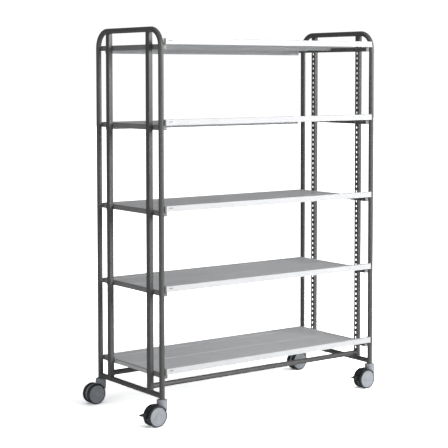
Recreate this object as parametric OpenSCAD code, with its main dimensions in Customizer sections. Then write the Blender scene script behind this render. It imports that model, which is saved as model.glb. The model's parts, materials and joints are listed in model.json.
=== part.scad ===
// Mobile book cart: two tube end frames with slotted uprights, five lipped steel shelves on
// channel brackets, two long rails and four twin-wheel castors, the front two with brakes.
// Millimetres. +X runs along the shelves to the right, +Y to the back and +Z up.
// The origin is at floor level, under the middle of the overall box.

/* [Overall] */
// Distance between the left and right leg centres
leg_span_x = 1270; // [900:10:1400]
// Distance between the front and rear leg centres
leg_span_y = 530; // [460:10:600]
// Height of the top of the end frames above the floor
cart_h = 1800; // [1790:5:1900]

/* [Frame tubes] */
// Outside diameter of the hoops, cross rails and long rails
tube_d = 25; // [23:1:26]
// Wall thickness of those tubes
tube_wall = 1.5; // [1.25:0.25:2.5]
// Centre-line radius of the two bends of a hoop
bend_r = 78; // [50:1:79]
// Height of the cross rail's centre line
cross_rail_z = 133; // [133:1:138]
// Height of the long rails' centre line
long_rail_z = 161; // [160:1:170]

/* [Uprights] */
// Depth of the upright channel, along X
upright_x = 22; // [20:1:22]
// Width of the upright channel, along Y
upright_y = 26; // [24:1:27]
// Wall thickness of the upright channel
upright_wall = 1.5; // [1.5:0.25:2.5]
// Distance from a leg's centre to the upright's centre
upright_inset = 95; // [93:1:120]
// Width of a slot
slot_w = 8; // [5.5:0.5:8]
// Height of a slot
slot_h = 10; // [8:0.5:12]
// Distance between slots
slot_pitch = 25; // [24:0.5:25]

/* [Shelves] */
// Height of the bottom shelf's underside
shelf_base = 231; // [225:1:250]
// Half slot pitches from shelf 1 up to shelf 2
step_2 = 30; // [20:1:30]
// Half slot pitches from shelf 2 up to shelf 3
step_3 = 29; // [20:1:30]
// Half slot pitches from shelf 3 up to shelf 4
step_4 = 31; // [20:1:31]
// Half slot pitches from shelf 4 up to shelf 5
step_5 = 29; // [20:1:29]
// Sheet thickness of a shelf
sheet = 1; // [0.8:0.1:1.5]
// Height of the front lip above the underside
lip_h = 27; // [20:1:32]
// Depth of the box-folded lip
lip_depth = 20; // [16:1:24]
// Distance of the lip's face in front of the front legs' centres
lip_overhang = 20; // [14:1:24]
// Height of the down-turned rear flange
rear_flange_h = 36; // [25:1:40]
// Distance of the rear flange's face inside the rear legs' centres
rear_inset = 4; // [2:1:8]
// Distance of a shelf's end inside the leg centres
end_inset = 16; // [15:1:20]

/* [Brackets] */
// Height of a shelf bracket
bracket_h = 22; // [20:1:22]
// Width of a shelf bracket, along X
bracket_w = 20; // [18:1:24]
// Wall thickness of a bracket
bracket_wall = 1.5; // [1.5:0.25:2.5]

/* [Castors] */
// Height of the top of the castor collar
castor_h = 118; // [118:1:119]
// Diameter of a castor wheel over its tyre
wheel_d = 98; // [96:1:98]
// Width of one wheel
wheel_w = 19; // [18:1:21]
// Space between the two wheels of a castor
wheel_gap = 19; // [19:1:21]
// Distance of the axle behind the swivel axis
castor_trail = 38; // [36:1:40]
// Diameter of the swivel collar
collar_d = 50; // [48:1:52]
// Distance from the swivel axis to the tip of a brake pedal
brake_reach = 120; // [112:1:126]
// Radial clearance of a turning fit
run_fit = 0.05; // [0.03:0.01:0.09]

/* [Hidden] */
$fn = 64;
eps = 0.01;
// How far a cut runs past the faces it opens
cut = 1;
frame_colour = "#403d3a";
shelf_colour = "#e6e8ea";
castor_colour = "#b4b9be";
tyre_colour = "#3c3e42";
black_colour = "#1d1e20";
zinc_colour = "#b5b8ba";

half_x = leg_span_x / 2;
half_y = leg_span_y / 2;
// The brake pedals reach further left than the collars reach right
frame_x = (brake_reach - collar_d / 2) / 2;
tube_r = tube_d / 2;
bar_z = cart_h - tube_r;

// Leg feet, inserts and stems
foot_gap = 2;
foot_z = castor_h + foot_gap;
insert_r = tube_r - tube_wall;
insert_len = 40;
stem_r = 5.5;
stem_top_gap = 2;
stem_flange_r = 15;
stem_low_z = 80;
stem_floor_z = 77;
swivel_gap = 0.1;

// Uprights: the web faces the shelves and the open side faces out
upright_half = upright_x / 2;
upright_row = half_y - upright_inset;
cope_depth = 4;
half_pitch = slot_pitch / 2;
first_slot_z = shelf_base - bracket_h / 2 - half_pitch / 2 - slot_pitch;
last_slot_z = bar_z - tube_r - 2 * slot_h;
slot_count = floor((last_slot_z - first_slot_z) / slot_pitch) + 1;

// Shelf levels, counted in half slot pitches from the bottom shelf
steps = [0, step_2, step_2 + step_3, step_2 + step_3 + step_4, step_2 + step_3 + step_4 + step_5];
function level(i) = shelf_base + steps[i - 1] * half_pitch;
function is_odd(i) = steps[i - 1] % 2 == 1;
// A bracket has two rows of holes, and the screws go through the row that meets a slot
hole_row = 4.3;
function screw_z(i) = level(i) - bracket_h / 2 + (is_odd(i) ? hole_row : -hole_row);

shelf_half = half_x - end_inset;
shelf_front = -half_y - lip_overhang;
shelf_rear = half_y - rear_inset;
shelf_depth = shelf_rear - shelf_front;
seam_w = 2.4;
seam_depth = 0.5;
mid_seam = 0.53;
rear_seam = 0.87;
stiffener_h = 15;
stiffener_w = 2 * sheet;
stiffener_gap = 3;
flange_gap = 2;
cap_plate = 1.5;
cap_plug = 8;
cap_slack = 0.2;

leg_gap = 0.5;
bracket_end_inset = 3;
bracket_x = tube_r + leg_gap;
bracket_front = bracket_end_inset - half_y;
bracket_len = 2 * (half_y - bracket_end_inset);
pad_w = 24;

screw_r = 2.5;
screw_hole_r = 2.7;
screw_head_r = 4.75;
screw_head_h = 2.8;
screw_past_nut = 1;
nut_h = 4;
nut_r = 4.6;
nut_flange_r = 5.9;
nut_flange_t = 1.5;
shelf_screw_r = 2;
shelf_screw_head_r = 4;
shelf_screw_head_h = 2.5;
shelf_screw_inset = 60;
shelf_screw_row = half_y - shelf_screw_inset;
shelf_screw_bite = sheet / 2;
rail_bolt_r = 4;
rail_bolt_head_r = 6.5;
rail_bolt_head_h = 8;
rail_bolt_len = 20;
hex_key_r = 3.4;
hex_key_depth = 4;
rail_plug_len = 26;

// Castor: the axle trails behind the swivel axis, towards -X
wheel_r = wheel_d / 2;
tyre_t = 6.5;
tyre_shoulder = 4;
tyre_inset = 0.3;
disc_r = wheel_r - tyre_t;
gap_half = wheel_gap / 2;
axle_r = 4;
hub_cap_t = 3;
axle_end_gap = 1;
wheel_bore_depth = wheel_w - hub_cap_t;
axle_half = gap_half + wheel_bore_depth - axle_end_gap;
fork_gap = 0.8;
fork_half = gap_half - fork_gap;
arch_gap = 2;
arch_r = wheel_r + arch_gap;
hub_r = 30;
fork_r = 41;
bridge_h = fork_r - 2;
collar_r = collar_d / 2;
collar_chamfer = 1.5;
column_low_z = 62;
column_round = 14;
groove_drop = 11;
groove_z = castor_h - groove_drop;
groove = 1.2;

// Wheel disc: hub, hollow back, bead at the rim, dished face with a thin ring and a centre boss
hub_back_r = 12;
back_hollow = 3;
rim_t = 6;
rim_inset = 0.5;
bead_w = 3.5;
bead_edge = 1;
bead_low = 0.4;
face_rim_low = 1.6;
ring_in = 15;
ring_w = 1.6;
ring_low = 1.2;
ring_deep = 2;
boss_moat_r = 16;
boss_moat_w = 1.2;
moat_high_low = 0.9;
moat_low = 1.9;
boss_r = 13;
boss_edge = 2;
boss_low = 0.3;

// Brake lever: it covers the gap between the wheels and turns on a pin below its top
cover_in_r = 43.5;
cover_out_r = 54;
cover_from = 82;
cover_to = 187;
ear_r = 6.5;
ear_slot_half = 6;
ear_slot_r = 14;
ear_gap = 0.2;
pin_r = 2.5;
pivot_back = 21;
pivot_up = 27;
pivot_x = -castor_trail - pivot_back;
pivot_z = wheel_r + pivot_up;
// The link from the pin to the cover, from the pin's axis
link_low = 1;
link_in = 3;
link_in_up = 12;
link_out = 10;
link_out_up = 8;
pedal_z = 61;
pedal_tip_r = 2.5;
pedal_tip_x = pedal_tip_r - brake_reach;
pedal_root_back = 46;
pedal_root_x = -castor_trail - pedal_root_back;
pedal_root_half = 9;
ridge_r = 5;
ridge_at = 135;

// Places its children on the left (-1) or right (1) end frame, with their +X facing the shelves
module at_side(side) {
    translate([frame_x + side * half_x, 0, 0])
        mirror([side > 0 ? 1 : 0, 0, 0])
            children();
}

// Places its children on the swivel axis of a corner; every castor trails the same way
module at_corner(side, row) {
    translate([frame_x + side * half_x, row * half_y, 0])
        children();
}

module bar_x(r, from, to) {
    translate([from, 0, 0])
        rotate([0, 90, 0])
            cylinder(r = r, h = to - from);
}

module bar_y(r, from, to) {
    translate([0, from, 0])
        rotate([-90, 0, 0])
            cylinder(r = r, h = to - from);
}

// Turns an outline drawn in X and Z into a plate centred on Y
module plate_y(half) {
    rotate([90, 0, 0])
        linear_extrude(2 * half, center = true)
            children();
}

// A solid of the hoop's path: two legs, two bends and the top bar
module hoop_path(r, low_z) {
    for (row = [-1, 1]) {
        translate([0, row * half_y, low_z])
            cylinder(r = r, h = bar_z - bend_r - low_z);
        mirror([0, row < 0 ? 1 : 0, 0])
            translate([0, half_y - bend_r, bar_z - bend_r])
                rotate([90, 0, 90])
                    rotate_extrude(angle = 90)
                        translate([bend_r, 0])
                            circle(r = r);
    }
    translate([0, 0, bar_z])
        bar_y(r, bend_r - half_y, half_y - bend_r);
}

module hoop(side) {
    color(frame_colour)
        at_side(side)
            difference() {
                hoop_path(tube_r, foot_z);
                hoop_path(insert_r, foot_z - cut);
            }
}

// The rail's ends are coped to the legs
module cross_rail(side) {
    color(frame_colour)
        at_side(side)
            difference() {
                translate([0, 0, cross_rail_z])
                    bar_y(tube_r, -half_y, half_y);
                translate([0, 0, cross_rail_z])
                    bar_y(insert_r, -half_y, half_y);
                for (row = [-1, 1])
                    translate([0, row * half_y, 0])
                        cylinder(r = tube_r, h = cross_rail_z + tube_d);
            }
}

// A channel between the cross rail and the top bar, coped to both
module upright(side, row) {
    low = cross_rail_z + cope_depth;
    high = bar_z - cope_depth;
    color(frame_colour)
        at_side(side)
            translate([0, row * upright_row, 0])
                difference() {
                    translate([-upright_half, -upright_y / 2, low])
                        cube([upright_x, upright_y, high - low]);
                    translate([-upright_half - cut, upright_wall - upright_y / 2, low - cut])
                        cube([upright_x - upright_wall + cut, upright_y - 2 * upright_wall,
                            high - low + 2 * cut]);
                    for (i = [0:slot_count - 1])
                        translate([0, -slot_w / 2, first_slot_z + i * slot_pitch - slot_h / 2])
                            cube([upright_x, slot_w, slot_h]);
                    translate([0, 0, long_rail_z])
                        bar_x(rail_bolt_r, 0, upright_x);
                    for (z = [cross_rail_z, bar_z])
                        translate([0, 0, z])
                            bar_y(tube_r, -upright_y, upright_y);
                }
}

// A tube between the webs of two uprights, with a tapped plug in each end
module long_rail(row) {
    reach = half_x - upright_half;
    color(frame_colour)
        translate([frame_x, row * upright_row, long_rail_z])
            difference() {
                bar_x(tube_r, -reach, reach);
                bar_x(insert_r, rail_plug_len - reach, reach - rail_plug_len);
                bar_x(rail_bolt_r, -reach - cut, rail_plug_len + cut - reach);
                bar_x(rail_bolt_r, reach - rail_plug_len - cut, reach + cut);
            }
}

module rail_bolts() {
    web_in = upright_half - upright_wall;
    color(zinc_colour)
        for (side = [-1, 1], row = [-1, 1])
            at_side(side)
                translate([0, row * upright_row, long_rail_z])
                    difference() {
                        union() {
                            bar_x(rail_bolt_head_r, web_in - rail_bolt_head_h, web_in);
                            bar_x(rail_bolt_r, web_in - eps, web_in + rail_bolt_len);
                        }
                        translate([web_in - rail_bolt_head_h - cut, 0, 0])
                            rotate([0, 90, 0])
                                cylinder(r = hex_key_r, h = hex_key_depth + cut, $fn = 6);
                    }
}

// A deck with a box-folded lip at the front, a flange at the back and a stiffener under its seam
module shelf(i) {
    seam_y = shelf_front + mid_seam * shelf_depth;
    stiffener_half = half_x - bracket_x - bracket_w - stiffener_gap;
    flange_half = half_x - bracket_x - bracket_w - flange_gap;
    color(shelf_colour)
        translate([frame_x, 0, level(i)])
            difference() {
                union() {
                    translate([-shelf_half, shelf_front, 0])
                        cube([2 * shelf_half, shelf_depth, sheet]);
                    translate([-shelf_half, shelf_front, 0])
                        cube([2 * shelf_half, lip_depth, lip_h]);
                    translate([-flange_half, shelf_rear - sheet, sheet - rear_flange_h])
                        cube([2 * flange_half, sheet, rear_flange_h]);
                    translate([-stiffener_half, seam_y - stiffener_w / 2, -stiffener_h])
                        cube([2 * stiffener_half, stiffener_w, stiffener_h + sheet / 2]);
                }
                translate([-shelf_half - cut, shelf_front + sheet, sheet])
                    cube([2 * (shelf_half + cut), lip_depth - 2 * sheet, lip_h - 2 * sheet]);
                for (part = [mid_seam, rear_seam])
                    translate([-shelf_half - cut, shelf_front + part * shelf_depth - seam_w / 2,
                        sheet - seam_depth])
                        cube([2 * (shelf_half + cut), seam_w, sheet]);
                for (side = [-1, 1], row = [-1, 1])
                    translate([side * (half_x - bracket_x - bracket_w / 2),
                        row * shelf_screw_row, -cut])
                        cylinder(r = shelf_screw_r, h = cut + shelf_screw_bite);
            }
}

// Plastic caps that close both ends of every lip
module lip_end_caps() {
    color(shelf_colour)
        for (i = [1:5], side = [-1, 1])
            at_side(side)
                translate([end_inset, shelf_front, level(i)]) {
                    translate([-cap_plate, 0, 0])
                        cube([cap_plate, lip_depth, lip_h]);
                    translate([-eps, sheet + cap_slack, sheet + cap_slack])
                        cube([cap_plug, lip_depth - 2 * (sheet + cap_slack),
                            lip_h - 2 * (sheet + cap_slack)]);
                }
}

// A channel with closed ends that opens towards the shelf, with pads against the two uprights.
// The lowest pair is painted like the shelves.
module bracket(i, side) {
    color(i == 1 ? shelf_colour : frame_colour)
        at_side(side)
            translate([0, 0, level(i) - bracket_h])
                difference() {
                    union() {
                        translate([bracket_x, bracket_front, 0])
                            cube([bracket_w, bracket_len, bracket_h]);
                        for (row = [-1, 1])
                            translate([upright_half, row * upright_row - pad_w / 2, 0])
                                cube([bracket_x - upright_half + eps, pad_w, bracket_h]);
                    }
                    translate([bracket_x + bracket_wall, bracket_front + bracket_wall, bracket_wall])
                        cube([bracket_w, bracket_len - 2 * bracket_wall,
                            bracket_h - 2 * bracket_wall]);
                    for (row = [-1, 1], up = [-1, 1])
                        translate([0, row * upright_row, bracket_h / 2 + up * hole_row])
                            bar_x(screw_hole_r, 0, bracket_x + bracket_wall + cut);
                    for (row = [-1, 1])
                        translate([bracket_x + bracket_w / 2, row * shelf_screw_row,
                            bracket_h - bracket_wall - cut])
                            cylinder(r = shelf_screw_r, h = bracket_wall + 2 * cut);
                }
}

module bracket_screws() {
    seat = bracket_x + bracket_wall;
    tail = upright_half - upright_wall - nut_h - screw_past_nut;
    color(zinc_colour)
        for (i = [1:5], side = [-1, 1], row = [-1, 1])
            at_side(side)
                translate([0, row * upright_row, screw_z(i)]) {
                    bar_x(screw_head_r, seat, seat + screw_head_h);
                    bar_x(screw_r, tail, seat + eps);
                }
}

// Flange nuts inside the uprights
module bracket_nuts() {
    seat = upright_half - upright_wall;
    color(zinc_colour)
        for (i = [1:5], side = [-1, 1], row = [-1, 1])
            at_side(side)
                translate([seat - nut_h, row * upright_row, screw_z(i)])
                    rotate([0, 90, 0])
                        difference() {
                            union() {
                                cylinder(r = nut_r, h = nut_h, $fn = 6);
                                translate([0, 0, nut_h - nut_flange_t])
                                    cylinder(r = nut_flange_r, h = nut_flange_t);
                            }
                            translate([0, 0, -cut])
                                cylinder(r = screw_r, h = nut_h + 2 * cut);
                        }
}

// Pan-head screws that hold each deck down on its brackets, from below
module shelf_screws() {
    color(zinc_colour)
        for (i = [1:5], side = [-1, 1], row = [-1, 1])
            at_side(side)
                translate([bracket_x + bracket_w / 2, row * shelf_screw_row,
                    level(i) - bracket_wall - shelf_screw_head_h]) {
                    cylinder(r = shelf_screw_head_r, h = shelf_screw_head_h);
                    cylinder(r = shelf_screw_r,
                        h = shelf_screw_head_h + bracket_wall + shelf_screw_bite);
                }
}

module leg_inserts() {
    color(black_colour)
        for (side = [-1, 1], row = [-1, 1])
            at_corner(side, row)
                translate([0, 0, foot_z])
                    difference() {
                        cylinder(r = insert_r, h = insert_len);
                        translate([0, 0, -cut])
                            cylinder(r = stem_r, h = insert_len + 2 * cut);
                    }
}

// A stem pressed into each leg insert; the castor housing turns on its lower end
module castor_stems() {
    color(zinc_colour)
        for (side = [-1, 1], row = [-1, 1])
            at_corner(side, row) {
                translate([0, 0, stem_low_z])
                    cylinder(r = stem_r, h = foot_z + insert_len - stem_top_gap - stem_low_z);
                translate([0, 0, castor_h + swivel_gap])
                    cylinder(r = stem_flange_r, h = foot_gap - swivel_gap);
            }
}

// Column and collar of a castor, turned about the swivel axis
module castor_column() {
    rotate_extrude()
        polygon(concat(
            [[0, column_low_z]],
            [for (a = [-90:15:0])
                [collar_r - column_round + column_round * cos(a),
                    column_low_z + column_round + column_round * sin(a)]],
            [[collar_r, groove_z - groove], [collar_r - groove, groove_z - groove],
                [collar_r - groove, groove_z], [collar_r, groove_z],
                [collar_r, castor_h - collar_chamfer], [collar_r - collar_chamfer, castor_h],
                [0, castor_h]]));
}

// Outline of the plate between the wheels, in X and Z about the swivel axis
module fork_outline(braked) {
    translate([-castor_trail, wheel_r]) {
        circle(r = hub_r);
        intersection() {
            circle(r = fork_r);
            polygon([[0, 0], [collar_r + castor_trail, 0], [collar_r + castor_trail, wheel_r],
                [-fork_r / 2, wheel_r]]);
        }
        if (!braked)
            circle(r = cover_in_r);
    }
    translate([-castor_trail, wheel_r])
        square([castor_trail, bridge_h]);
    if (braked)
        translate([pivot_x, pivot_z])
            circle(r = ear_r);
}

module castor_housing(braked) {
    color(castor_colour)
        difference() {
            union() {
                difference() {
                    castor_column();
                    for (row = [-1, 1])
                        translate([-castor_trail, row * (fork_half + wheel_w), wheel_r])
                            bar_y(arch_r, -wheel_w, wheel_w);
                }
                plate_y(fork_half)
                    fork_outline(braked);
            }
            translate([0, 0, stem_floor_z])
                cylinder(r = stem_r + run_fit, h = castor_h);
            translate([-castor_trail, 0, wheel_r])
                bar_y(axle_r, -wheel_w, wheel_w);
            if (braked)
                translate([pivot_x, 0, pivot_z]) {
                    bar_y(ear_slot_r, -ear_slot_half, ear_slot_half);
                    bar_y(pin_r, -wheel_w, wheel_w);
                }
        }
}

module castor_axle() {
    color(zinc_colour)
        translate([-castor_trail, 0, wheel_r])
            bar_y(axle_r, -axle_half, axle_half);
}

// Turned outline of a wheel disc, from the closed end of its bore round the back to the boss
module wheel_disc(row) {
    w = wheel_w;
    face_r = disc_r - bead_w - bead_edge;
    ring_r = disc_r - ring_in;
    color(castor_colour)
        translate([-castor_trail, 0, wheel_r])
            rotate([row > 0 ? -90 : 90, 0, 0])
                translate([0, 0, gap_half])
                    rotate_extrude()
                        polygon([[0, wheel_bore_depth], [axle_r + run_fit, wheel_bore_depth],
                            [axle_r + run_fit, 0], [hub_back_r, 0], [hub_back_r, back_hollow],
                            [disc_r - rim_t, back_hollow], [disc_r - rim_t, rim_inset],
                            [disc_r, rim_inset], [disc_r, w - bead_low - bead_edge],
                            [disc_r - bead_edge, w - bead_low], [disc_r - bead_w, w - bead_low],
                            [face_r, w - face_rim_low], [ring_r, w - ring_low],
                            [ring_r - ring_w / 2, w - ring_deep], [ring_r - ring_w, w - ring_low],
                            [boss_moat_r, w - moat_high_low], [boss_moat_r - 1, w - moat_low],
                            [boss_moat_r - 1 - boss_moat_w, w - moat_low], [boss_r, w - boss_low],
                            [boss_r - boss_edge, w], [0, w]]);
}

// Tyre ring bonded on the disc, with rounded shoulders
module tyre(row) {
    shoulder_r = wheel_r - tyre_shoulder;
    near = tyre_inset + tyre_shoulder;
    far = wheel_w - near;
    color(tyre_colour)
        translate([-castor_trail, 0, wheel_r])
            rotate([row > 0 ? -90 : 90, 0, 0])
                translate([0, 0, gap_half])
                    rotate_extrude()
                        polygon(concat(
                            [[disc_r, tyre_inset]],
                            [for (a = [-90:15:0])
                                [shoulder_r + tyre_shoulder * cos(a), near + tyre_shoulder * sin(a)]],
                            [for (a = [0:15:90])
                                [shoulder_r + tyre_shoulder * cos(a), far + tyre_shoulder * sin(a)]],
                            [[disc_r, wheel_w - tyre_inset]]));
}

// Outline of the cover that follows the wheels from the collar round to the back
module cover_outline() {
    intersection() {
        difference() {
            circle(r = cover_out_r);
            circle(r = cover_in_r);
        }
        polygon(concat([[0, 0]],
            [for (a = [cover_from:15:cover_to]) 2 * cover_out_r * [cos(a), sin(a)]]));
    }
}

module brake_lever() {
    color(black_colour)
        difference() {
            union() {
                plate_y(fork_half) {
                    translate([-castor_trail, wheel_r]) {
                        cover_outline();
                        translate(cover_out_r * [cos(ridge_at), sin(ridge_at)])
                            circle(r = ridge_r);
                    }
                    polygon([[pedal_root_x, pedal_z + pedal_root_half],
                        [pedal_root_x, pedal_z - pedal_root_half],
                        [pedal_tip_x, pedal_z - pedal_tip_r],
                        [pedal_tip_x, pedal_z + pedal_tip_r]]);
                    translate([pedal_tip_x, pedal_z])
                        circle(r = pedal_tip_r);
                }
                plate_y(ear_slot_half - ear_gap)
                    translate([pivot_x, pivot_z]) {
                        circle(r = ear_r);
                        polygon([[-ear_r, 0], [0, -link_low], [link_in, link_in_up],
                            [-link_out, link_out_up]]);
                    }
            }
            translate([pivot_x, 0, pivot_z])
                bar_y(pin_r + run_fit, -wheel_w, wheel_w);
        }
}

module brake_pin() {
    color(zinc_colour)
        translate([pivot_x, 0, pivot_z])
            bar_y(pin_r, -fork_half, fork_half);
}

hoop(-1);  // left_hoop
hoop(1);  // right_hoop
cross_rail(-1);  // left_cross_rail
cross_rail(1);  // right_cross_rail
upright(-1, -1);  // left_front_upright
upright(-1, 1);  // left_rear_upright
upright(1, -1);  // right_front_upright
upright(1, 1);  // right_rear_upright
long_rail(-1);  // front_long_rail
long_rail(1);  // rear_long_rail
rail_bolts();
shelf(1);  // shelf_1
shelf(2);  // shelf_2
shelf(3);  // shelf_3
shelf(4);  // shelf_4
shelf(5);  // shelf_5
lip_end_caps();
bracket(1, -1);  // bracket_1_left
bracket(1, 1);  // bracket_1_right
bracket(2, -1);  // bracket_2_left
bracket(2, 1);  // bracket_2_right
bracket(3, -1);  // bracket_3_left
bracket(3, 1);  // bracket_3_right
bracket(4, -1);  // bracket_4_left
bracket(4, 1);  // bracket_4_right
bracket(5, -1);  // bracket_5_left
bracket(5, 1);  // bracket_5_right
bracket_screws();
bracket_nuts();
shelf_screws();
leg_inserts();
castor_stems();
at_corner(-1, -1) castor_housing(true);  // front_left_housing
at_corner(-1, -1) castor_axle();  // front_left_axle
at_corner(-1, -1) wheel_disc(-1);  // front_left_wheel_a
at_corner(-1, -1) tyre(-1);  // front_left_tyre_a
at_corner(-1, -1) wheel_disc(1);  // front_left_wheel_b
at_corner(-1, -1) tyre(1);  // front_left_tyre_b
at_corner(-1, -1) brake_lever();  // front_left_brake_lever
at_corner(-1, -1) brake_pin();  // front_left_brake_pin
at_corner(1, -1) castor_housing(true);  // front_right_housing
at_corner(1, -1) castor_axle();  // front_right_axle
at_corner(1, -1) wheel_disc(-1);  // front_right_wheel_a
at_corner(1, -1) tyre(-1);  // front_right_tyre_a
at_corner(1, -1) wheel_disc(1);  // front_right_wheel_b
at_corner(1, -1) tyre(1);  // front_right_tyre_b
at_corner(1, -1) brake_lever();  // front_right_brake_lever
at_corner(1, -1) brake_pin();  // front_right_brake_pin
at_corner(-1, 1) castor_housing(false);  // rear_left_housing
at_corner(-1, 1) castor_axle();  // rear_left_axle
at_corner(-1, 1) wheel_disc(-1);  // rear_left_wheel_a
at_corner(-1, 1) tyre(-1);  // rear_left_tyre_a
at_corner(-1, 1) wheel_disc(1);  // rear_left_wheel_b
at_corner(-1, 1) tyre(1);  // rear_left_tyre_b
at_corner(1, 1) castor_housing(false);  // rear_right_housing
at_corner(1, 1) castor_axle();  // rear_right_axle
at_corner(1, 1) wheel_disc(-1);  // rear_right_wheel_a
at_corner(1, 1) tyre(-1);  // rear_right_tyre_a
at_corner(1, 1) wheel_disc(1);  // rear_right_wheel_b
at_corner(1, 1) tyre(1);  // rear_right_tyre_b
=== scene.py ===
"""Looks of the book cart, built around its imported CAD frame. Metres throughout."""

import json
import math

import bmesh
import bpy
from mathutils import Matrix, Vector


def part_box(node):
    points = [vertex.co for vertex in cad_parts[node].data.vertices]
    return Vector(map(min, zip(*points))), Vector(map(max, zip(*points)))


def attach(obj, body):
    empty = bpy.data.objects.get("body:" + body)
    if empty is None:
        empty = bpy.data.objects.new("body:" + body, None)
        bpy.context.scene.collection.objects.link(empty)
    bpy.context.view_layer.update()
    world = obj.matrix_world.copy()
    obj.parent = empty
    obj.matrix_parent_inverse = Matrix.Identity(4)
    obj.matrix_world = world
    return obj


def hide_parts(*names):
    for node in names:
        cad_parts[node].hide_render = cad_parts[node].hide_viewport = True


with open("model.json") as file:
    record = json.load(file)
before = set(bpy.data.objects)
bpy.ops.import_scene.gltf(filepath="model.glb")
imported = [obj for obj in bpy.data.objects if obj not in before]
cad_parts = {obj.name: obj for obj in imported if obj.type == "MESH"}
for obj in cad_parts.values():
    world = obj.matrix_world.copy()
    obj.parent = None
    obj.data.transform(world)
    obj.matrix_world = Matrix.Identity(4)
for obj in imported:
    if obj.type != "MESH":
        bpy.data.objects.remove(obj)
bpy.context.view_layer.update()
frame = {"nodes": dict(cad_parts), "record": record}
MM = 0.001

# Bent sheet of the shelves
SHEET = 1 * MM
FOLD_R = 1.2 * MM
SEAM_PLACES = (0.53, 0.87)
SEAM_HALF_GAP = 1.2 * MM
SEAM_DEPTH = 6 * MM
RIB_DEPTH = 15 * MM
LIP_DEPTH = 20 * MM
LIP_HEM = 0.4 * MM
REAR_EDGE = 3 * MM
LOWEST_REAR_FLANGE = 36 * MM
BRACKET_CLEARANCE = 2 * MM

# End flanges of the bottom shelf
FLANGE_GAP = 0.8 * MM
FLANGE_END_GAP = 1 * MM
FLANGE_TAB = 6 * MM
FLANGE_FOLD_R = 1 * MM
FLANGE_DROPS = (2 * MM, 5 * MM, 12 * MM, 21 * MM)

# Channel of the uprights
UPRIGHT_WALL = 1.5 * MM
UPRIGHT_FOLD_R = 2.5 * MM
SLOT_HALF_W = 4 * MM
SLOT_HALF_H = 5 * MM
SLOT_PITCH = 25 * MM
SLOTS_START = 40 * MM
SLOTS_END = 25 * MM

# Labels on the lips
LABEL_SIZE = (21 * MM, 6 * MM)
LABEL_THICKNESS = 0.3 * MM
LABEL_CORNER_R = 1.5 * MM
LABEL_FROM_END = 12 * MM
LABEL_BELOW_TOP = 13 * MM

# Weld beads
WELD_STEPS = 40
WELD_R = 1.5 * MM
WELD_RIPPLE = 0.25 * MM
WELD_RIPPLES = 9

# Floor and surround
FLOOR_HALF = 30.0
FLOOR_GAIN = 4.5
FLOOR_FADE = (1.2, 3.0)
WORLD_LIGHT = 0.17
WORLD_SEEN = 1.05

# Places and sizes read from the frame
HOOP_LOW, HOOP_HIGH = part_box("left_hoop")
RIGHT_LOW, RIGHT_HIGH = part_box("right_hoop")
RAIL_LOW, RAIL_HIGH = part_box("left_cross_rail")
TUBE_R = (HOOP_HIGH.x - HOOP_LOW.x) / 2
LEG_X = {"left": (HOOP_LOW.x + HOOP_HIGH.x) / 2, "right": (RIGHT_LOW.x + RIGHT_HIGH.x) / 2}
MIDDLE_X = (LEG_X["left"] + LEG_X["right"]) / 2
HALF_Y = HOOP_HIGH.y - TUBE_R
CROSS_Z = (RAIL_LOW.z + RAIL_HIGH.z) / 2
DECK_LEFT, DECK_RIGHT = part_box("shelf_2")[0].x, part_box("shelf_2")[1].x
SIDES = ("left", "right")


# ---------------------------------------------------------------- materials


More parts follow.
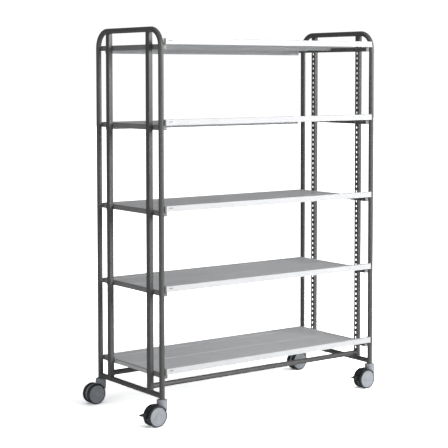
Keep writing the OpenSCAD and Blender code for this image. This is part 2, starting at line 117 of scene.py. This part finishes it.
class Nodes:
    """A short way to build one node material around a Principled shader."""

    def __init__(self, name):
        self.material = bpy.data.materials.new(name)
        self.material.use_nodes = True
        self.tree = self.material.node_tree
        self.shader = self.tree.nodes["Principled BSDF"]
        self.place = self.tree.nodes.new("ShaderNodeTexCoord").outputs["Object"]

    def add(self, kind, **values):
        node = self.tree.nodes.new(kind)
        for key, value in values.items():
            if key in node.inputs:
                node.inputs[key].default_value = value
            else:
                setattr(node, key, value)
        return node

    def link(self, output, socket):
        self.tree.links.new(output, socket)

    def noise(self, scale, detail=3.0, stretch=(1, 1, 1)):
        mapping = self.add("ShaderNodeMapping", Scale=stretch)
        self.link(self.place, mapping.inputs["Vector"])
        noise = self.add("ShaderNodeTexNoise", Scale=scale, Detail=detail)
        self.link(mapping.outputs["Vector"], noise.inputs["Vector"])
        return noise.outputs["Fac"]

    def ramp(self, fac, low, high, start=0.35, end=0.65):
        ramp = self.add("ShaderNodeValToRGB")
        ramp.color_ramp.elements[0].position = start
        ramp.color_ramp.elements[1].position = end
        ramp.color_ramp.elements[0].color = (*low, 1)
        ramp.color_ramp.elements[1].color = (*high, 1)
        self.link(fac, ramp.inputs["Fac"])
        return ramp.outputs["Color"]

    def mix(self, fac, a, b):
        mix = self.add("ShaderNodeMix", data_type="RGBA")
        for socket, value in ((mix.inputs[0], fac), (mix.inputs[6], a), (mix.inputs[7], b)):
            if isinstance(value, bpy.types.NodeSocket):
                self.link(value, socket)
            else:
                socket.default_value = value
        return mix.outputs[2]

    def spread(self, fac, low, high):
        """Maps a 0 to 1 value to the range low to high."""
        node = self.add("ShaderNodeMapRange")
        node.inputs["To Min"].default_value = low
        node.inputs["To Max"].default_value = high
        self.link(fac, node.inputs["Value"])
        return node.outputs["Result"]

    def graded(self, value, start, end):
        """0 where the value is at start, 1 where it is at end."""
        node = self.add("ShaderNodeMapRange")
        node.inputs["From Min"].default_value = start
        node.inputs["From Max"].default_value = end
        self.link(value, node.inputs["Value"])
        return node.outputs["Result"]

    def edges(self, radius):
        """1 on edges that a hand or a book would rub, 0 elsewhere."""
        bevel = self.add("ShaderNodeBevel", Radius=radius, samples=4)
        geometry = self.add("ShaderNodeNewGeometry")
        dot = self.add("ShaderNodeVectorMath", operation="DOT_PRODUCT")
        self.link(bevel.outputs["Normal"], dot.inputs[0])
        self.link(geometry.outputs["Normal"], dot.inputs[1])
        return self.graded(dot.outputs["Value"], 0.99, 0.80)

    def bump(self, height, strength, distance, rounding=0.6 * MM):
        """Surface grain, on edges that catch the light as if slightly rounded."""
        bump = self.add("ShaderNodeBump", Strength=strength, Distance=distance)
        self.link(height, bump.inputs["Height"])
        bevel = self.add("ShaderNodeBevel", Radius=rounding, samples=4)
        self.link(bevel.outputs["Normal"], bump.inputs["Normal"])
        self.link(bump.outputs["Normal"], self.shader.inputs["Normal"])

    def set(self, **values):
        for key, value in values.items():
            socket = self.shader.inputs[key.replace("_", " ")]
            if isinstance(value, bpy.types.NodeSocket):
                self.link(value, socket)
            else:
                socket.default_value = value
        return self


def powder_coat(name, low, high, worn, roughness, grain, coat):
    """Baked powder paint: slight mottling, orange-peel bump and lighter rubbed edges."""
    m = Nodes(name)
    colour = m.ramp(m.noise(9.0, 4.0), low, high)
    rubbed = m.add("ShaderNodeMath", operation="MULTIPLY")
    m.link(m.edges(0.8 * MM), rubbed.inputs[0])
    m.link(m.spread(m.noise(60.0), 0.0, 0.45), rubbed.inputs[1])
    m.set(Base_Color=m.mix(rubbed.outputs[0], colour, (*worn, 1)))
    m.set(Roughness=m.spread(m.noise(35.0, 5.0), roughness - 0.05, roughness + 0.06))
    m.set(Coat_Weight=coat, Coat_Roughness=0.25)
    m.bump(m.noise(grain, 2.0), 0.25, 0.06 * MM)
    return m.material


def moulded_plastic(name, low, high, roughness, texture):
    """Moulded plastic with a fine spark-eroded texture."""
    m = Nodes(name)
    m.set(Base_Color=m.ramp(m.noise(40.0, 4.0), low, high))
    m.set(Roughness=m.spread(m.noise(120.0, 4.0), roughness - 0.06, roughness + 0.08))
    m.bump(m.noise(texture, 3.0), 0.3, 0.05 * MM)
    return m.material


def tyre_rubber():
    """Grey tread with scuffs and a little dust where it meets the floor."""
    m = Nodes("tyre_rubber")
    colour = m.ramp(m.noise(70.0, 6.0), (0.030, 0.032, 0.037), (0.046, 0.048, 0.054))
    dust = m.ramp(m.noise(22.0, 5.0), (0, 0, 0), (0.35, 0.35, 0.35), 0.5, 0.8)
    m.set(Base_Color=m.mix(dust, colour, (0.10, 0.10, 0.10, 1)))
    m.set(Roughness=m.spread(m.noise(90.0, 4.0), 0.55, 0.75))
    m.bump(m.noise(900.0, 2.0), 0.35, 0.08 * MM)
    return m.material


def zinc_steel():
    """Bright zinc plate with faint rolling lines."""
    m = Nodes("zinc_steel")
    m.set(Base_Color=m.ramp(m.noise(140.0, 4.0), (0.42, 0.43, 0.45), (0.60, 0.61, 0.63)))
    m.set(Metallic=1.0, Roughness=m.spread(m.noise(260.0, 3.0, (1, 1, 8)), 0.25, 0.42))
    m.bump(m.noise(1200.0, 2.0, (1, 1, 6)), 0.2, 0.03 * MM)
    return m.material


def blank_label():
    """A plain grey foil label with a brushed face."""
    m = Nodes("blank_label")
    m.set(Base_Color=m.ramp(m.noise(500.0, 2.0, (1, 1, 20)), (0.34, 0.36, 0.37), (0.44, 0.46, 0.47)))
    m.set(Metallic=0.3, Roughness=m.spread(m.noise(300.0), 0.35, 0.5))
    m.bump(m.noise(900.0, 2.0, (1, 1, 20)), 0.15, 0.02 * MM)
    return m.material


MATERIALS = {
    "frame_paint": powder_coat("frame_paint", (0.100, 0.100, 0.099), (0.112, 0.112, 0.111),
                               (0.20, 0.20, 0.20), 0.42, 700.0, 0.15),
    "bracket_paint": powder_coat("bracket_paint", (0.270, 0.270, 0.271), (0.305, 0.305, 0.306),
                                 (0.34, 0.34, 0.34), 0.40, 650.0, 0.12),
    "shelf_paint": powder_coat("shelf_paint", (0.70, 0.71, 0.725), (0.74, 0.75, 0.765),
                               (0.85, 0.85, 0.85), 0.34, 500.0, 0.2),
    "cap_plastic": moulded_plastic("cap_plastic", (0.80, 0.81, 0.82), (0.84, 0.85, 0.86), 0.5, 1400.0),
    "castor_plastic": moulded_plastic("castor_plastic", (0.38, 0.41, 0.44), (0.43, 0.46, 0.49), 0.42, 1500.0),
    "black_plastic": moulded_plastic("black_plastic", (0.012, 0.012, 0.014), (0.022, 0.022, 0.025),
                                     0.45, 1300.0),
    "tyre_rubber": tyre_rubber(),
    "zinc_steel": zinc_steel(),
    "blank_label": blank_label(),
}


def paint(obj, slot, finish=None):
    """Gives obj the finish, by default the one of its record slot."""
    obj.data.materials.clear()
    obj.data.materials.append(MATERIALS[finish or slot])


# ---------------------------------------------------------------- mesh helpers


def mesh_object(name, points, faces):
    mesh = bpy.data.meshes.new(name)
    mesh.from_pydata([tuple(p) for p in points], [], faces)
    mesh.validate()
    mesh.update()
    obj = bpy.data.objects.new(name, mesh)
    bpy.context.scene.collection.objects.link(obj)
    return obj


def smooth(obj, angle=35.0):
    """Smooth shading that keeps edges sharper than angle."""
    obj.data.shade_smooth()
    obj.data.set_sharp_from_angle(angle=math.radians(angle))


def outward(obj):
    """Turns every face of a closed mesh to the outside."""
    mesh = bmesh.new()
    mesh.from_mesh(obj.data)
    bmesh.ops.recalc_face_normals(mesh, faces=mesh.faces)
    mesh.to_mesh(obj.data)
    mesh.free()


def flat_faces(obj):
    """Keeps large faces flat-shaded beside their rounded edges."""
    modifier = obj.modifiers.new("flat_faces", "WEIGHTED_NORMAL")
    modifier.weight = 100
    modifier.keep_sharp = True


def arc(centre, radius, start, end, steps):
    """Points of an arc in a plane, angles in degrees."""
    angles = [math.radians(start + (end - start) * i / steps) for i in range(steps + 1)]
    return [(centre[0] + radius * math.cos(a), centre[1] + radius * math.sin(a)) for a in angles]


def swept_tube(name, path, radius, sides=10):
    """A closed bead of round section along a closed path; radius is one number per point."""
    count = len(path)
    points, faces = [], []
    for i, here in enumerate(path):
        along = (path[(i + 1) % count] - path[i - 1]).normalized()
        side = along.orthogonal().normalized()
        if points and side.dot(last_side) < 0.99:
            side = (last_side - along * last_side.dot(along)).normalized()
        last_side = side
        up = along.cross(side)
        for k in range(sides):
            a = 2 * math.pi * k / sides
            points.append(here + radius[i] * (math.cos(a) * side + math.sin(a) * up))
    for i in range(count):
        j = (i + 1) % count
        shift = 0
        if j == 0:
            start = [points[k] for k in range(sides)]
            target = points[i * sides]
            shift = min(range(sides), key=lambda k: (start[k] - target).length)
        for k in range(sides):
            n = (k + 1) % sides
            faces.append((i * sides + k, i * sides + n,
                          j * sides + (n + shift) % sides, j * sides + (k + shift) % sides))
    return mesh_object(name, points, faces)


def sheet_profile(path, thickness):
    """The outline of a bent sheet: path is its outer side, walked with the metal on the right."""
    inner = []
    for i, here in enumerate(path):
        before = (here - path[i - 1]).normalized() if i else None
        after = (path[i + 1] - here).normalized() if i < len(path) - 1 else None
        along = ((before or after) + (after or before)).normalized()
        reach = thickness / max(along.dot(after or before), 0.5)
        inner.append(here + reach * Vector((along.y, -along.x)))
    return path + inner[::-1]


def rounded(corners, radius, steps=4):
    """A path through the corners with each inner corner replaced by an arc."""
    path = [corners[0]]
    for before, here, after in zip(corners, corners[1:], corners[2:]):
        a, b = (before - here).normalized(), (after - here).normalized()
        half = math.acos(max(-1.0, min(1.0, a.dot(b)))) / 2
        centre = here + (a + b).normalized() * radius / math.sin(half)
        start = here + a * radius / math.tan(half) - centre
        end = here + b * radius / math.tan(half) - centre
        turn = math.atan2(start.x * end.y - start.y * end.x, start.dot(end))
        for k in range(steps + 1):
            c, s = math.cos(turn * k / steps), math.sin(turn * k / steps)
            path.append(centre + Vector((c * start.x - s * start.y, s * start.x + c * start.y)))
    return path + [corners[-1]]


def extrude_x(outlines, x0, x1):
    """Points and faces of Y-Z outlines drawn out from x0 to x1."""
    points, faces = [], []
    for outline in outlines:
        first, n = len(points), len(outline)
        points += [(x0, p.x, p.y) for p in outline] + [(x1, p.x, p.y) for p in outline]
        for k in range(n):
            m = (k + 1) % n
            faces.append((first + k, first + m, first + n + m, first + n + k))
        faces.append(tuple(range(first + n - 1, first - 1, -1)))
        faces.append(tuple(range(first + n, first + 2 * n)))
    return points, faces


# ---------------------------------------------------------------- carried CAD nodes


def dress_cad_nodes():
    """Every CAD node gets its slot's material, the brackets a lighter bracket paint instead, and smooth
    shading.
    """
    for row in frame["record"]["subparts"]:
        obj = frame["nodes"][row["node"]]
        is_bracket = row["node"].startswith("bracket_") and row["node"].endswith(SIDES)
        paint(obj, row["material_slot"], "bracket_paint" if is_bracket else None)
        obj.data.shade_smooth()


# ---------------------------------------------------------------- shelves and their labels


def bent_shelf(index):
    """Three bent sheets with rounded folds: lip and front deck, middle deck, back deck and flange."""
    low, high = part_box(f"shelf_{index}")
    bracket_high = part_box(f"bracket_{index}_left")[1]
    deck = bracket_high.z + SHEET
    depth = high.y - low.y
    front, back, lip = low.y, high.y, high.z
    seams = [front + place * depth for place in SEAM_PLACES]
    gap = SEAM_HALF_GAP
    groove = deck - SEAM_DEPTH
    rib = deck - RIB_DEPTH
    notch = bracket_high.x + BRACKET_CLEARANCE - DECK_LEFT
    lip_back = front + LIP_DEPTH
    flange = low.z if index > 1 else deck - LOWEST_REAR_FLANGE

    def way(*corners):
        return sheet_profile(rounded([Vector(c) for c in corners], FOLD_R), SHEET)

    lip_box = way((lip_back - SHEET, deck - SHEET), (front, deck - SHEET), (front, lip),
                  (lip_back, lip), (lip_back, deck + LIP_HEM))
    front_deck = way((seams[0] - gap, groove), (seams[0] - gap, deck), (front + FOLD_R, deck))
    middle = way((seams[1] - gap, groove), (seams[1] - gap, deck), (seams[0] + gap, deck),
                 (seams[0] + gap, groove))
    rear = way((back, deck - REAR_EDGE), (back, deck), (seams[1] + gap, deck),
               (seams[1] + gap, groove))
    front_inner = way((seams[0] - gap, rib), (seams[0] - gap, deck), (front + FOLD_R, deck))
    middle_inner = way((seams[1] - gap, rib), (seams[1] - gap, deck), (seams[0] + gap, deck),
                       (seams[0] + gap, rib))
    rear_inner = way((back, flange), (back, deck), (seams[1] + gap, deck), (seams[1] + gap, rib))
    ends = (DECK_LEFT, DECK_LEFT + notch, DECK_RIGHT - notch, DECK_RIGHT)
    points, faces = [], []
    for outlines, x0, x1 in (([lip_box], ends[0], ends[3]),
                             ([front_deck, middle, rear], ends[0], ends[1]),
                             ([front_inner, middle_inner, rear_inner], ends[1], ends[2]),
                             ([front_deck, middle, rear], ends[2], ends[3])):
        more_points, more_faces = extrude_x(outlines, x0, x1)
        faces += [tuple(i + len(points) for i in face) for face in more_faces]
        points += more_points
    shelf = mesh_object(f"bent_shelf_{index}", points, faces)
    outward(shelf)
    smooth(shelf, 50.0)
    flat_faces(shelf)
    paint(shelf, "shelf_paint")
    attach(shelf, "frame")
    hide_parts(f"shelf_{index}")
    return Vector((DECK_LEFT, front, lip))


def end_flange(side):
    """The bottom shelf's flange outside a bracket, between the uprights, slotted along its fold."""
    upright_low, upright_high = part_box("left_rear_upright")
    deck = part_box("bracket_1_left")[1].z + SHEET
    reach = MIDDLE_X - upright_high.x - FLANGE_GAP
    deck_end = MIDDLE_X - DECK_LEFT
    half = upright_low.y - FLANGE_END_GAP
    folded, *drops = FLANGE_DROPS
    fold = rounded([Vector((deck_end, deck)), Vector((reach, deck)),
                    Vector((reach, deck - folded))], FLANGE_FOLD_R)
    profile = fold + [Vector((reach, deck - drop)) for drop in drops]
    slot_row = len(fold) - 1
    stations = (-half, FLANGE_TAB - half, half - FLANGE_TAB, half)
    sign = -1 if side == "left" else 1
    points = [(MIDDLE_X + sign * p.x, y, p.y) for p in profile for y in stations]
    faces = []
    for i in range(len(profile) - 1):
        for k in range(3):
            if (i, k) != (slot_row, 1):
                face = (4 * i + k, 4 * i + k + 1, 4 * i + k + 5, 4 * i + k + 4)
                faces.append(face[::-sign])
    flange = mesh_object(f"end_flange_{side}", points, faces)
    smooth(flange, 50.0)
    sheet = flange.modifiers.new("sheet", "SOLIDIFY")
    sheet.thickness = SHEET
    sheet.offset = -1.0
    flat_faces(flange)
    paint(flange, "shelf_paint")
    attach(flange, "frame")


def label(index, corner):
    """A small blank label near the left end of the lip; corner is the lip's top left front."""
    x0, z0 = corner.x + LABEL_FROM_END, corner.z - LABEL_BELOW_TOP
    wide, tall = LABEL_SIZE
    round_r = LABEL_CORNER_R
    outline = []
    for cx, cz, start in ((wide, tall, 0), (0, tall, 90), (0, 0, 180), (wide, 0, 270)):
        centre = (x0 + min(max(cx, round_r), wide - round_r), z0 + min(max(cz, round_r), tall - round_r))
        outline += arc(centre, round_r, start, start + 90, 4)
    n = len(outline)
    points = [(x, corner.y - LABEL_THICKNESS, z) for x, z in outline]
    points += [(x, corner.y, z) for x, z in outline]
    faces = [tuple(range(n)), tuple(range(2 * n - 1, n - 1, -1))]
    faces += [(k, k + n, (k + 1) % n + n, (k + 1) % n) for k in range(n)]
    obj = mesh_object(f"lip_label_{index}", points, faces)
    outward(obj)
    obj.data.materials.append(MATERIALS["blank_label"])
    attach(obj, "frame")


# ---------------------------------------------------------------- uprights


def folded_upright(side, row):
    """A channel with its web to the front and its back open; the wall beside the shelves is slotted."""
    node = f"{side}_{row}_upright"
    low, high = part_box(node)
    slot = next(m["pos_m"] for m in frame["record"]["mounts"] if m["name"] == f"{node}_slots")
    front, back = slot[1] - SLOT_HALF_W, slot[1] + SLOT_HALF_W
    first = slot[2] - SLOT_PITCH * math.floor((slot[2] - low.z - SLOTS_START) / SLOT_PITCH)
    count = math.floor((high.z - SLOTS_END - first) / SLOT_PITCH) + 1
    heights = [low.z]
    for i in range(count):
        middle = first + i * SLOT_PITCH
        heights += [middle - SLOT_HALF_H, middle + SLOT_HALF_H]
    heights.append(high.z)
    fold = rounded([Vector((low.x, front)), Vector((low.x, low.y)), Vector((high.x, low.y)),
                    Vector((high.x, front))], UPRIGHT_FOLD_R)
    outline = [Vector((low.x, high.y)), Vector((low.x, back)), *fold,
               Vector((high.x, back)), Vector((high.x, high.y))]
    n = len(outline)
    slotted = n - 3 if side == "left" else 1
    points = [(p.x, p.y, z) for z in heights for p in outline]
    faces = []
    for k in range(len(heights) - 1):
        for i in range(n - 1):
            if k % 2 == 0 or i != slotted:
                faces.append((k * n + i, k * n + i + 1, k * n + n + i + 1, k * n + n + i))
    upright = mesh_object(f"folded_{node}", points, faces)
    smooth(upright, 50.0)
    sheet = upright.modifiers.new("sheet", "SOLIDIFY")
    sheet.thickness = UPRIGHT_WALL
    sheet.offset = -1.0
    flat_faces(upright)
    paint(upright, "frame_paint")
    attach(upright, "frame")
    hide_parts(node)


# ---------------------------------------------------------------- welds


def weld_ring(name, centre, axis, radius, other_radius):
    """The bead where a tube of the given radius meets a round tube whose axis is Z, at right angles."""
    path, sizes = [], []
    side = axis.cross(Vector((0, 0, 1)))
    for k in range(WELD_STEPS):
        a = 2 * math.pi * k / WELD_STEPS
        across, up = radius * math.cos(a), radius * math.sin(a)
        reach = math.sqrt(max(other_radius ** 2 - across ** 2, (0.3 * MM) ** 2))
        path.append(centre + axis * reach + side * across + Vector((0, 0, up)))
        sizes.append(WELD_R + WELD_RIPPLE * math.sin(WELD_RIPPLES * a))
    bead = swept_tube(name, path, sizes, 8)
    smooth(bead, 60.0)
    paint(bead, "frame_paint")
    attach(bead, "frame")


def welds():
    for side in SIDES:
        for row, sign in (("front", -1), ("rear", 1)):
            foot = Vector((LEG_X[side], sign * HALF_Y, CROSS_Z))
            weld_ring(f"weld_{side}_{row}_leg", foot, Vector((0, -sign, 0)), TUBE_R, TUBE_R)


# ---------------------------------------------------------------- camera, floor and light


def camera():
    """A long lens at about eye height, to the left of the front; the frame is cropped off its axis."""
    data = bpy.data.cameras.new("camera")
    data.sensor_width = 36.0
    data.lens = 107.3
    data.shift_x = 0.049
    data.shift_y = -0.152
    data.clip_end = 60.0
    obj = bpy.data.objects.new("camera", data)
    yaw, pitch, roll = math.radians(35.72), math.radians(3.51), math.radians(0.1)
    forward = Vector((math.sin(yaw) * math.cos(pitch), math.cos(yaw) * math.cos(pitch), -math.sin(pitch)))
    right = Vector((math.cos(yaw), -math.sin(yaw), 0))
    up = right.cross(forward)
    turn = Matrix.Rotation(roll, 3, forward)
    right, up = turn @ right, turn @ up
    rotation = Matrix((right, up, -forward)).transposed()
    obj.matrix_world = Matrix.Translation((MIDDLE_X - 3.964, -5.207, 1.586)) @ rotation.to_4x4()
    bpy.context.scene.collection.objects.link(obj)
    bpy.context.scene.camera = obj


def area_light(name, place, target, size, power):
    data = bpy.data.lights.new(name, "AREA")
    data.shape = "RECTANGLE"
    data.size, data.size_y = size
    data.energy = power
    obj = bpy.data.objects.new(name, data)
    obj.location = place
    obj.rotation_euler = (Vector(target) - Vector(place)).to_track_quat("-Z", "Y").to_euler()
    obj.visible_camera = False
    bpy.context.scene.collection.objects.link(obj)


def floor():
    """White paper to the horizon; the camera sees it brighter than it lights the cart."""
    corners = [(x * FLOOR_HALF, y * FLOOR_HALF, 0) for x, y in ((-1, -1), (1, -1), (1, 1), (-1, 1))]
    sheet = mesh_object("floor", corners, [(0, 1, 2, 3)])
    m = Nodes("floor_paper")
    away = m.add("ShaderNodeVectorMath", operation="LENGTH")
    m.link(m.place, away.inputs[0])
    camera_ray = m.add("ShaderNodeLightPath").outputs["Is Camera Ray"]
    paper = m.ramp(m.noise(3.0), (0.80, 0.80, 0.80), (0.82, 0.82, 0.82))
    seen = m.add("ShaderNodeVectorMath", operation="SCALE", Scale=FLOOR_GAIN)
    m.link(paper, seen.inputs[0])
    m.set(Base_Color=m.mix(camera_ray, paper, seen.outputs["Vector"]), Roughness=0.9,
          Specular_IOR_Level=0.0)
    glow = m.add("ShaderNodeMath", operation="MULTIPLY")
    m.link(m.graded(away.outputs["Value"], *FLOOR_FADE), glow.inputs[0])
    m.link(camera_ray, glow.inputs[1])
    m.set(Emission_Color=(1, 1, 1, 1), Emission_Strength=glow.outputs[0])
    sheet.data.materials.append(m.material)


def surround():
    """White to the camera, and an even, dim light to the cart."""
    world = bpy.data.worlds.new("surround")
    world.use_nodes = True
    tree = world.node_tree
    lit, seen = tree.nodes["Background"], tree.nodes.new("ShaderNodeBackground")
    lit.inputs["Color"].default_value = (1, 1, 1, 1)
    lit.inputs["Strength"].default_value = WORLD_LIGHT
    seen.inputs["Color"].default_value = (1, 1, 1, 1)
    seen.inputs["Strength"].default_value = WORLD_SEEN
    path = tree.nodes.new("ShaderNodeLightPath")
    mix = tree.nodes.new("ShaderNodeMixShader")
    tree.links.new(path.outputs["Is Camera Ray"], mix.inputs["Fac"])
    tree.links.new(lit.outputs[0], mix.inputs[1])
    tree.links.new(seen.outputs[0], mix.inputs[2])
    tree.links.new(mix.outputs[0], tree.nodes["World Output"].inputs["Surface"])
    bpy.context.scene.world = world


def studio():
    floor()
    surround()
    middle = Vector((MIDDLE_X, 0, 0.9))
    area_light("key", (1.8, -5.8, 2.7), middle, (3.0, 1.8), 300)
    area_light("left fill", (-5.0, -1.4, 1.7), middle, (2.5, 2.0), 30)
    area_light("side", (4.6, -1.4, 2.0), middle, (3.0, 2.0), 90)
    area_light("overhead", (0.2, 0.0, 5.0), (MIDDLE_X, 0, 0), (5.0, 4.0), 30)
    bpy.context.scene.view_settings.view_transform = "Standard"


dress_cad_nodes()
for number in range(1, 6):
    label(number, bent_shelf(number))
for side in SIDES:
    end_flange(side)
    for row in ("front", "rear"):
        folded_upright(side, row)
welds()
camera()
studio()
